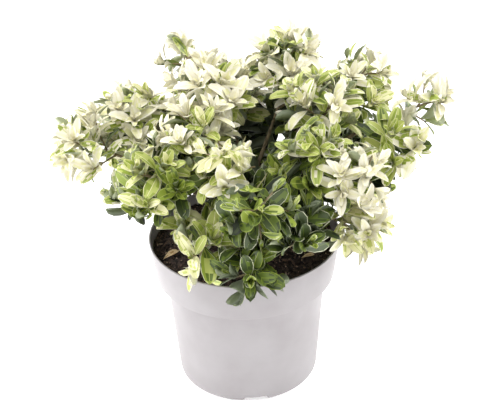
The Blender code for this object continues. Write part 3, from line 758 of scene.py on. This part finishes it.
def fine_route(space, parent, draw):
    """A finer shoot: it forks from a shoot or the stem, leans out and turns up towards the light."""
    at = int(draw.uniform(0.15, 0.85) * (len(parent) - 2))
    along = unit(parent[at + 1] - parent[at])
    way = unit(draw.normal(size=3) + 0.5 * UP + 0.5 * space.lead)
    tip = space.centre + way * space.size * draw.uniform(*FINE_REACHES)
    start = parent[at]
    span = np.linalg.norm(tip - start)
    first = start + unit(along + unit(tip - start)) * span * 0.36
    last = tip - unit(unit(tip - start) + 0.5 * UP) * span * 0.3
    return bezier(start, first, last, tip, TWIG_POINTS)


shoots = {}
for name in table:
    space, stem = Space(name, table), stems[name]
    grown = [stem]
    for k in range(shoot_count(space)):
        for reach in SHOOT_REACHES:
            path = shoot_route(space, stem, k, reach)
            if space.clear(path[1:], 1.0).all() and not over_peat(path[-1:]).any():
                grown.append(path)
                break
    leading, crowding = len(grown), CROWDED.get(name, 1.0)
    draw = np.random.default_rng([SEED, space.number, 99])
    for _ in range(FINE_TRIES):
        path = fine_route(space, grown[draw.integers(leading)], draw)
        span = np.linalg.norm(path[-1] - path[0])
        apart = min(np.linalg.norm(other[-1] - path[-1]) for other in grown)
        beyond = path[-1] + unit(path[-1] - path[-2]) * TIP_ROOM
        room = space.clear(np.vstack((path[1:], beyond)), 1.05).all() and not over_peat(path).any()
        if apart > TIP_SPACING * crowding and FINE_SPANS[0] < span < FINE_SPANS[1] and room:
            grown.append(path)
        if len(grown) >= leading + FINE_COUNTS[space.tone] * (space.size / FULL_SIZE / crowding) ** 3:
            break
    shoots[name] = (grown, leading)

twig_paths, first_radii = [], []
for grown, leading in shoots.values():
    twig_paths += [spaced(path, TWIG_POINTS) for path in grown]
    first_radii += [BOUGH_TIP_RADIUS] + [SHOOT_RADIUS] * (leading - 1) + [FINE_RADIUS] * (len(grown) - leading)
twig_paths, first_radii = np.array(twig_paths), np.array(first_radii)
twig_radii = first_radii[:, None] * np.linspace(1, TWIG_TIP_SHARE, TWIG_POINTS)
twig_bark = plain_material("green_bark", linear(170, 164, 122), 0.6)
old_bark = plain_material("twig_bark", linear(150, 134, 104), 0.7)
woody = (first_radii > FINE_RADIUS).astype(int)
twigs = mesh_piece(
    "twigs",
    carried_along(twig_paths, twig_radii, TWIG_SIDES),
    tube_faces(len(twig_paths), TWIG_POINTS, TWIG_SIDES),
    [twig_bark, old_bark],
    np.concatenate((np.repeat(woody, (TWIG_POINTS - 1) * TWIG_SIDES), np.repeat(woody, 2))),
)
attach(twigs, "root")

# The leaves stand in opposite pairs, each pair square to the last, and close up into a rosette at
# each tip. They are leathery and folded along the midrib: cream, narrow and bent back when young,
# green and round with a thin pale margin later, and dark and large low down.
LEAF_ROWS = np.array((0.09, 0.22, 0.38, 0.56, 0.75, 0.91))
YOUNG_WIDTHS = np.array((0.13, 0.48, 0.86, 1.00, 0.86, 0.46))
OLD_WIDTHS = np.array((0.08, 0.34, 0.70, 0.96, 1.00, 0.68))
LEAF_COLUMNS = np.array((-1.0, -0.90, -0.48, -0.05, 0.05, 0.48, 0.90, 1.0))
LEAF_THICKNESS = 0.014
LEAF_CORNERS = 2 + len(LEAF_ROWS) * (len(LEAF_COLUMNS) + 1)
SPINE_STEPS = 24

LEAF_TONES = {
    "ivory": (245, 241, 221),
    "cream": (241, 236, 208),
    "yellow": (234, 232, 180),
    "lime": (188, 197, 108),
    "fresh": (146, 163, 62),
    "green": (97, 115, 43),
    "deep": (63, 78, 36),
    "dark": (40, 50, 29),
    "margin": (224, 227, 192),
    "pale_back": (240, 236, 214),
    "green_back": (176, 184, 150),
    "dark_back": (126, 136, 108),
    "dry": (228, 200, 158),
    "dry_back": (186, 146, 98),
}
TONE_NUMBER = {tone: i for i, tone in enumerate(LEAF_TONES)}

# Each kind of leaf: the tones of its margin, of the band inside it, of its heart, of its midrib, of
# its specks and of its back, the share of its faces that are specks, its width over its length, and
# its bend from root to tip in degrees
LEAF_KINDS = {
    "ivory": ("ivory", "ivory", "ivory", "yellow", "cream", "pale_back", 0.30, 0.36, (22, 78)),
    "cream": ("ivory", "ivory", "cream", "yellow", "yellow", "pale_back", 0.30, 0.36, (22, 78)),
    "butter": ("cream", "yellow", "yellow", "lime", "lime", "pale_back", 0.26, 0.38, (20, 72)),
    "mottled": ("ivory", "lime", "fresh", "lime", "cream", "green_back", 0.45, 0.37, (15, 60)),
    "lime": ("yellow", "lime", "lime", "yellow", "fresh", "green_back", 0.34, 0.39, (15, 55)),
    "edged": ("margin", "fresh", "green", "lime", "lime", "green_back", 0.30, 0.38, (10, 45)),
    "fresh": ("lime", "fresh", "fresh", "lime", "green", "green_back", 0.34, 0.42, (8, 38)),
    "green": ("fresh", "green", "green", "fresh", "deep", "dark_back", 0.30, 0.40, (8, 40)),
    "dark": ("margin", "deep", "deep", "green", "green", "dark_back", 0.30, 0.38, (10, 40)),
    "deep": ("green", "dark", "dark", "deep", "deep", "dark_back", 0.30, 0.40, (8, 35)),
    "dry": ("dry", "dry", "dry", "dry_back", "dry_back", "dry_back", 0.30, 0.42, (20, 60)),
}
KIND_NUMBER = {kind: i for i, kind in enumerate(LEAF_KINDS)}
KIND_TONES = np.array([[TONE_NUMBER[tone] for tone in row[:6]] for row in LEAF_KINDS.values()])
KIND_SPECKS = np.array([row[6] for row in LEAF_KINDS.values()])
KIND_WIDTHS = np.array([row[7] for row in LEAF_KINDS.values()])
KIND_BENDS = np.radians([row[8] for row in LEAF_KINDS.values()])
KIND_AGES = np.linspace(0, 1, len(LEAF_KINDS))

# How a shoot's leaves go from the youngest to the oldest, by the tone of its mass
SHOOT_KINDS = {
    "cream": (("ivory", "cream"), ("cream", "ivory"), ("mottled", "edged"), ("edged", "green"), ("green", "dark")),
    "pale": (("ivory", "cream"), ("cream", "mottled"), ("mottled", "lime"), ("lime", "edged"), ("green", "dark")),
    "yellow": (("butter", "lime"), ("lime", "butter"), ("lime", "edged"), ("edged", "green"), ("green", "dark")),
    "mixed": (("lime", "mottled"), ("mottled", "lime"), ("edged", "mottled"), ("green", "edged"), ("dark", "deep")),
    "green": (("fresh", "lime"), ("fresh", "edged"), ("fresh", "green"), ("dark", "green"), ("dark", "deep")),
    "dark": (("green", "edged"), ("dark", "green"), ("dark", "deep"), ("deep", "dark"), ("deep", "dark")),
    "bright": (("ivory", "cream"), ("cream", "ivory"), ("cream", "mottled"), ("edged", "green"), ("green", "dark")),
    "butter": (("butter", "cream"), ("cream", "butter"), ("butter", "lime"), ("lime", "edged"), ("green", "dark")),
    "low": (("green", "edged"), ("dark", "green"), ("dark", "green"), ("dark", "deep"), ("deep", "dark")),
}
TONES = ("cream", "pale", "yellow", "mixed", "green", "dark")
SHADE_STEPS = (2, 5)
LOW_HEIGHT = 0.225
PLAIN_DRESS = (None, 0.0, 0.19)
DRESSES = {
    "heart": ("butter", -0.1, 0.0),
    "front": ("green", -0.35, 0.19),
    "cream_left": ("cream", -0.35, 0.12),
    "cream_right": ("bright", -0.5, 0.1),
    "low_right": ("butter", -2.0, 0.0),
    "low_left": ("mixed", 0.1, 0.1),
    "apron_left": ("yellow", -2.0, 0.1),
    "rear_left": ("yellow", -0.5, 0.1),
    "tall_left": ("cream", -2.0, 0.0),
    "upper_left": ("pale", -0.8, 0.15),
    "far_left": ("pale", -0.8, 0.15),
    "far_right": ("cream", -0.5, 0.1),
    "right_shoot": ("pale", 0.15, 0.19),
    "right_upper": ("pale", 0.15, 0.30),
    "top_right": ("pale", 0.0, 0.19),
    "top_middle": ("cream", -0.5, 0.1),
    "lime": ("mixed", 0.1, 0.19),
    "apron": ("low", 0.0, 0.0),
}
REACHES = {"rear_low": 1.35, "top": 1.25, "front": 0.96, "apron_right": 1.3, "apron_left": 1.3, "right_shoot": 1.3, "far_right": 1.2, "middle_left": 1.1}
CUTS = {
    "heart": ((0, 1, 0.50), (1, 0, 0.52), (-1, 0, 0.66), (0, -1, 0.88)),
    "front": ((0, 1, 0.60),),
    "tall_left": ((0.8, 0.6, 0.62),),
    "upper_left": ((0.5, 0.85, 0.84),),
    "far_right": ((-0.7, 0.7, 0.78),),
    "right_shoot": ((0.7, -0.7, 0.70), (1, 0.3, 0.95)),
    "cream_right": ((0, 1, 0.55), (1, 0, 0.75)),
    "top_middle": ((1, 0.1, 0.68),),
    "top_right": ((-0.7, 0.7, 0.62),),
    "lime": ((-0.6, 0.8, 0.70),),
    "low_right": ((0.9, 0.4, 1.15),),
    "low_left": ((-0.5, -0.8, 0.75),),
    "apron": ((-1, 0, 0.85),),
}
CUT_LOOSENESS = 0.14
PAIR_STAGES = (0, 0, 0, 1, 1, 1, 2, 3, 4)
TIP_TURN_UP = 0.7
LEAF_SIZES = {"cream": 0.030, "pale": 0.030, "yellow": 0.033, "mixed": 0.038, "green": 0.038, "dark": 0.042}

# The pairs of a shoot from its tip down: the step back to each in mm, its lean off the shoot in
# degrees, and its length as a share of a full leaf
LEAF_TRIES = (1.0, 0.82, 0.66)
LEAF_PAIRS = (
    (0.4, 8, 0.40),
    (0.6, 18, 0.63),
    (0.7, 29, 0.80),
    (0.9, 40, 0.91),
    (1.4, 51, 0.98),
    (3.0, 63, 1.00),
    (8.0, 72, 1.05),
    (10.0, 78, 1.09),
    (11.0, 82, 1.11),
)


def leaf_faces():
    """One leaf's faces, and the row and column of each: a fan at its root, strips up its top side
    and a fan at its tip, and the same on its back, which has two columns and the column number
    -1. The top and the back share their border."""
    rows, columns = len(LEAF_ROWS), len(LEAF_COLUMNS)
    grid = 1 + np.arange(rows * columns).reshape(rows, columns)
    tip = 1 + rows * columns
    spine = tip + 1 + np.arange(rows)
    faces, places = [], []
    for c in range(columns - 1):
        faces.append((0, grid[0, c + 1], grid[0, c]))
        places.append((0, c))
        for r in range(rows - 1):
            faces.append((grid[r, c], grid[r, c + 1], grid[r + 1, c + 1], grid[r + 1, c]))
            places.append((r + 1, c))
        faces.append((tip, grid[-1, c], grid[-1, c + 1]))
        places.append((rows, c))
    for left, right in ((grid[:, 0], spine), (spine, grid[:, -1])):
        faces.append((0, left[0], right[0]))
        for r in range(rows - 1):
            faces.append((left[r], left[r + 1], right[r + 1], right[r]))
        faces.append((left[-1], tip, right[-1]))
    places += [(0, -1)] * (len(faces) - len(places))
    return faces, np.array(places)


def leaf_points(roots, ahead, face, length, kinds, draw):
    """The corners of many leaves at once. Up a leaf its direction turns back, more and more
    towards the tip; its two halves fold up from the midrib, and its border waves a little."""
    count = len(roots)
    side = np.cross(face, ahead)
    bend = draw.uniform(KIND_BENDS[kinds, 0], KIND_BENDS[kinds, 1])[:, None]
    start = np.radians(draw.uniform(4, 22, (count, 1)))
    share = np.linspace(0, 1, SPINE_STEPS + 1)
    pitch = start - bend * share**1.6
    step = np.stack((np.cos(pitch), np.sin(pitch)), axis=-1) / SPINE_STEPS
    curve = np.concatenate((np.zeros((count, 1, 2)), np.cumsum(step[:, :-1], axis=1)), axis=1)
    at = (LEAF_ROWS * SPINE_STEPS).round().astype(int)
    rows, rise = curve[:, at], pitch[:, at][:, :, None]
    age = KIND_AGES[kinds][:, None]
    outline = YOUNG_WIDTHS * (1 - age) + OLD_WIDTHS * age
    width = KIND_WIDTHS[kinds][:, None] / 2 * draw.uniform(0.88, 1.12, (count, 1)) * outline
    across = LEAF_COLUMNS * width[..., None]
    fold = np.tan(np.radians(draw.uniform(6, 26, (count, 1, 1))))
    wave = draw.uniform(0, math.tau, (count, 1, 1)) + LEAF_ROWS[:, None] * 9 + LEAF_COLUMNS
    lift = np.abs(across) * fold + 0.06 * width[..., None] * LEAF_COLUMNS**2 * np.sin(wave)
    along = rows[..., :1] - lift * np.sin(rise)
    up = rows[..., 1:] + lift * np.cos(rise)
    top = np.stack((along, across, up), axis=-1).reshape(count, -1, 3)
    zero = np.zeros((count, len(LEAF_ROWS)))
    back = np.stack((rows[..., 0], zero, rows[..., 1] - LEAF_THICKNESS), axis=-1)
    tip = np.stack((curve[:, -1, 0], zero[:, 0], curve[:, -1, 1]), axis=-1)[:, None]
    local = np.concatenate((np.zeros((count, 1, 3)), top, tip, back), axis=1)
    axes = np.stack((ahead, side, face), axis=1)
    return roots[:, None] + np.einsum("nvi,nij->nvj", local, axes) * length[:, None, None]


def leaf_tones(kinds, places, draw):
    """Which tone each face of each leaf has: its kind's margin, band or heart by the face's
    column, with some faces of the band and heart changed round as streaks and specks."""
    zone = np.array((0, 1, 2, 3, 2, 1, 0))[np.maximum(places[:, 1], 0)]
    ends = (places[:, 0] == 0) | (places[:, 0] == len(LEAF_ROWS))
    zone = np.where(ends, np.minimum(zone, 1), zone)
    shape = (len(kinds), len(places))
    specks = KIND_SPECKS[kinds][:, None]
    mixed = (draw.uniform(size=shape) < specks) & (zone > 0) & (zone < 3)
    zone = np.where(mixed, 4, zone)
    tones = KIND_TONES[kinds[:, None], zone]
    return np.where(places[:, 1] < 0, KIND_TONES[kinds, 5][:, None], tones)


def shoot_leaves(path, tone, size, draw):
    """The leaves of one shoot: a rosette at its tip, and pairs back along it, wider apart, each
    older, larger and leaning further out than the last."""
    found = []
    length = lengths_along(path)[-1]
    ahead = unit(unit(path[-1] - path[-2]) + TIP_TURN_UP * UP)
    right, over = sideways(ahead)
    turn = draw.uniform(0, math.tau)
    back = 0.0
    for age, (step, lean, share) in enumerate(LEAF_PAIRS):
        back += step * MM * draw.uniform(0.85, 1.2)
        if back > length * 0.85:
            break
        node = read_at(path, np.array([length - back]))[0]
        stage = PAIR_STAGES[age]
        kind = SHOOT_KINDS[tone][stage][int(draw.uniform() < 0.4)]
        for half in (0, math.pi):
            spin = turn + half + age * math.pi / 2 + draw.uniform(-0.4, 0.4)
            tilt = math.radians(lean + draw.uniform(-15, 15))
            flat = right * math.cos(spin) + over * math.sin(spin)
            out = ahead * math.cos(tilt) + flat * math.sin(tilt)
            face = ahead * math.sin(tilt) - flat * math.cos(tilt)
            found.append((node, out, face, size * share * draw.uniform(0.85, 1.15), KIND_NUMBER[kind]))
    return found


# Two dry leaves have dropped on the peat: where each lies, in mm, its length and its turn
FALLEN_LEAVES = ((-81, -26, 20, 38), (54, -35, 15, 20))

faces, places = leaf_faces()
three = np.array([face for face in faces if len(face) == 3])
four = np.array([face for face in faces if len(face) == 4])
order = np.argsort([len(face) for face in faces], kind="stable")
leaf_materials = [plain_material(f"leaf_{tone}", linear(*seen), 0.40) for tone, seen in LEAF_TONES.items()]
leaf_count = 0


def leaf_piece(name, points, kinds, draw):
    """One object of many leaves, whose faces carry the tones of each leaf's kind."""
    shift = np.arange(len(points))[:, None, None] * LEAF_CORNERS
    polygons = (three + shift).reshape(-1, 3).tolist() + (four + shift).reshape(-1, 4).tolist()
    tones = leaf_tones(kinds, places, draw)[:, order]
    tones = np.concatenate((tones[:, : len(three)].ravel(), tones[:, len(three) :].ravel()))
    leaves = mesh_piece(name, points, polygons, leaf_materials, tones)
    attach(leaves, "root")
    return leaves


for name in table:
    space = Space(name, table)
    draw = np.random.default_rng([SEED, space.number, 5])
    rows = []
    row_name, shade_line, odd_share = DRESSES.get(name, PLAIN_DRESS)
    for k, path in enumerate(shoots[name][0]):
        outward = (path[-1] - space.centre) @ unit(space.lead + UP) / space.size
        shaded = outward < shade_line or draw.uniform() < odd_share
        steps = SHADE_STEPS[path[-1][2] < LOW_HEIGHT] if k > 0 and shaded else 0
        tone = TONES[min(TONES.index(space.tone) + steps, len(TONES) - 1)]
        tone = row_name or tone if steps == 0 else tone
        size = LEAF_SIZES[space.tone] * CROWDED.get(name, 1.0) ** 0.5 * draw.uniform(0.88, 1.12)
        rows += shoot_leaves(path, tone, size, draw)
    roots, ahead, face, length, kinds = (np.array(column) for column in zip(*rows))
    points = leaf_points(roots, ahead, face, length, kinds, draw)
    tips = points[:, 1 + len(LEAF_ROWS) * len(LEAF_COLUMNS)]
    share = np.zeros(len(points))
    reach = REACHES.get(name, REACH)
    loose = draw.uniform(-CUT_LOOSENESS, CUT_LOOSENESS, len(points))
    for part in LEAF_TRIES:
        middle = roots + (points.mean(axis=1) - roots) * part
        tip = roots + (tips - roots) * part
        fits = space.clear(middle, reach, slack=0.008) & space.clear(tip, reach, slack=0.018)
        fits &= ~over_peat(middle) & ~over_peat(tip)
        for aside, above, limit in CUTS.get(name, ()):
            beyond = (tip - space.centre) @ (aside * RIGHT + above * OVER) / space.size
            fits &= beyond < limit + loose
        share = np.where((share == 0) & fits, part, share)
    grown = roots[:, None] + (points - roots[:, None]) * share[:, None, None]
    in_box = ((grown > cad_box[0]) & (grown < cad_box[1])).all(axis=(1, 2))
    points, kinds = grown[(share > 0) & in_box], kinds[(share > 0) & in_box]
    leaf_count += len(points)
    leaves = leaf_piece(f"leaves_{name}", points, kinds, draw)
    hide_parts(f"foliage_{name}")
print("LEAVES", leaf_count)
fallen = np.array(FALLEN_LEAVES)
spots, turns = fallen[:, :2] * MM, np.radians(fallen[:, 3])
lying = leaf_points(
    np.column_stack((spots, peat_height(*spots.T) + 0.002)),
    np.stack((np.cos(turns), np.sin(turns), 0 * turns), axis=-1),
    np.tile(UP, (len(fallen), 1)),
    fallen[:, 2] * MM,
    np.full(len(fallen), KIND_NUMBER["dry"]),
    draw,
)
dry_leaves = leaf_piece("dry_leaves", lying, np.full(len(fallen), KIND_NUMBER["dry"]), draw)

# The stage: a pale floor, soft light from the upper left, and the photograph's camera.
CAMERA_AWAY = 1.52
CAMERA_HEIGHT = 0.1948
CAMERA_ROLL = math.radians(1.98)
FOCAL_PIXELS = 1553.6
PICTURE_WIDTH = 500
ASIDE_PIXELS = 6.85
LEFT_POWER = 20
RIGHT_POWER = 18
KEY_POWER = 1.0
CEILING_STRENGTH = 1.66
CEILING_SPREAD = 60
WORLD_STRENGTH = 0.615

floor_mesh = bpy.data.meshes.new("floor")
reach = 6.0
floor_mesh.from_pydata(
    [(-reach, -reach, 0), (reach, -reach, 0), (reach, reach, 0), (-reach, reach, 0)], [], [(0, 1, 2, 3)]
)
floor = bpy.data.objects.new("floor", floor_mesh)
bpy.context.scene.collection.objects.link(floor)
# The floor paper glows: its emission is painted light, a fill from below that lifts the pot's foot and the backs of
# the leaves and washes out the plant's cast shadow on the floor.
glowing_floor_paper = plain_material("glowing_floor_paper", linear(252, 252, 252), 0.9)
glowing_floor_paper.node_tree.nodes["Principled BSDF"].inputs["Emission Strength"].default_value = 0.45
glowing_floor_paper.node_tree.nodes["Principled BSDF"].inputs["Emission Color"].default_value = (1, 1, 1, 1)
floor.data.materials.append(glowing_floor_paper)

ahead = np.array((0, math.cos(CAMERA_DOWN), -math.sin(CAMERA_DOWN)))
over = np.array((0, math.sin(CAMERA_DOWN), math.cos(CAMERA_DOWN)))
right = np.array((1.0, 0.0, 0.0))
place = np.array((0, 0, CAMERA_HEIGHT)) - ahead * CAMERA_AWAY
rolled_right = right * math.cos(CAMERA_ROLL) - over * math.sin(CAMERA_ROLL)
rolled_up = over * math.cos(CAMERA_ROLL) + right * math.sin(CAMERA_ROLL)
camera_data = bpy.data.cameras.new("camera")
camera_data.sensor_width = 36
camera_data.lens = 36 * FOCAL_PIXELS / PICTURE_WIDTH
camera_data.shift_x = ASIDE_PIXELS / PICTURE_WIDTH
camera = bpy.data.objects.new("camera", camera_data)
bpy.context.scene.collection.objects.link(camera)
matrix = np.eye(4)
matrix[:3] = np.column_stack((rolled_right, rolled_up, -ahead, place))
camera.matrix_world = Matrix(matrix.tolist())
bpy.context.scene.camera = camera


def add_panel(name, place, size, power):
    """A square soft light that faces the middle of the plant."""
    data = bpy.data.lights.new(name, "AREA")
    data.energy = power
    data.size = size
    light = bpy.data.objects.new(name, data)
    bpy.context.scene.collection.objects.link(light)
    light.location = place
    light.rotation_euler = (Vector((0, 0, 0.2)) - Vector(place)).to_track_quat("-Z", "Y").to_euler()


add_panel("left_panel", (-1.3, 0.4, 0.8), 1.0, LEFT_POWER)
add_panel("right_panel", (1.4, 0.4, 0.8), 1.0, RIGHT_POWER)
add_panel("key_panel", (-0.7, -1.1, 1.4), 0.6, KEY_POWER)
ceiling = bpy.data.lights.new("ceiling", "SUN")
ceiling.energy = CEILING_STRENGTH
ceiling.angle = math.radians(CEILING_SPREAD)
ceiling_light = bpy.data.objects.new("ceiling", ceiling)
bpy.context.scene.collection.objects.link(ceiling_light)
ceiling_light.rotation_euler = Vector((0.15, 0.12, -1.0)).to_track_quat("-Z", "Y").to_euler()
world = bpy.data.worlds.new("studio")
bpy.context.scene.world = world
world.use_nodes = True
world.node_tree.nodes["Background"].inputs["Color"].default_value = (1, 1, 1, 1)
world.node_tree.nodes["Background"].inputs["Strength"].default_value = WORLD_STRENGTH
bpy.context.scene.view_settings.view_transform = "Standard"
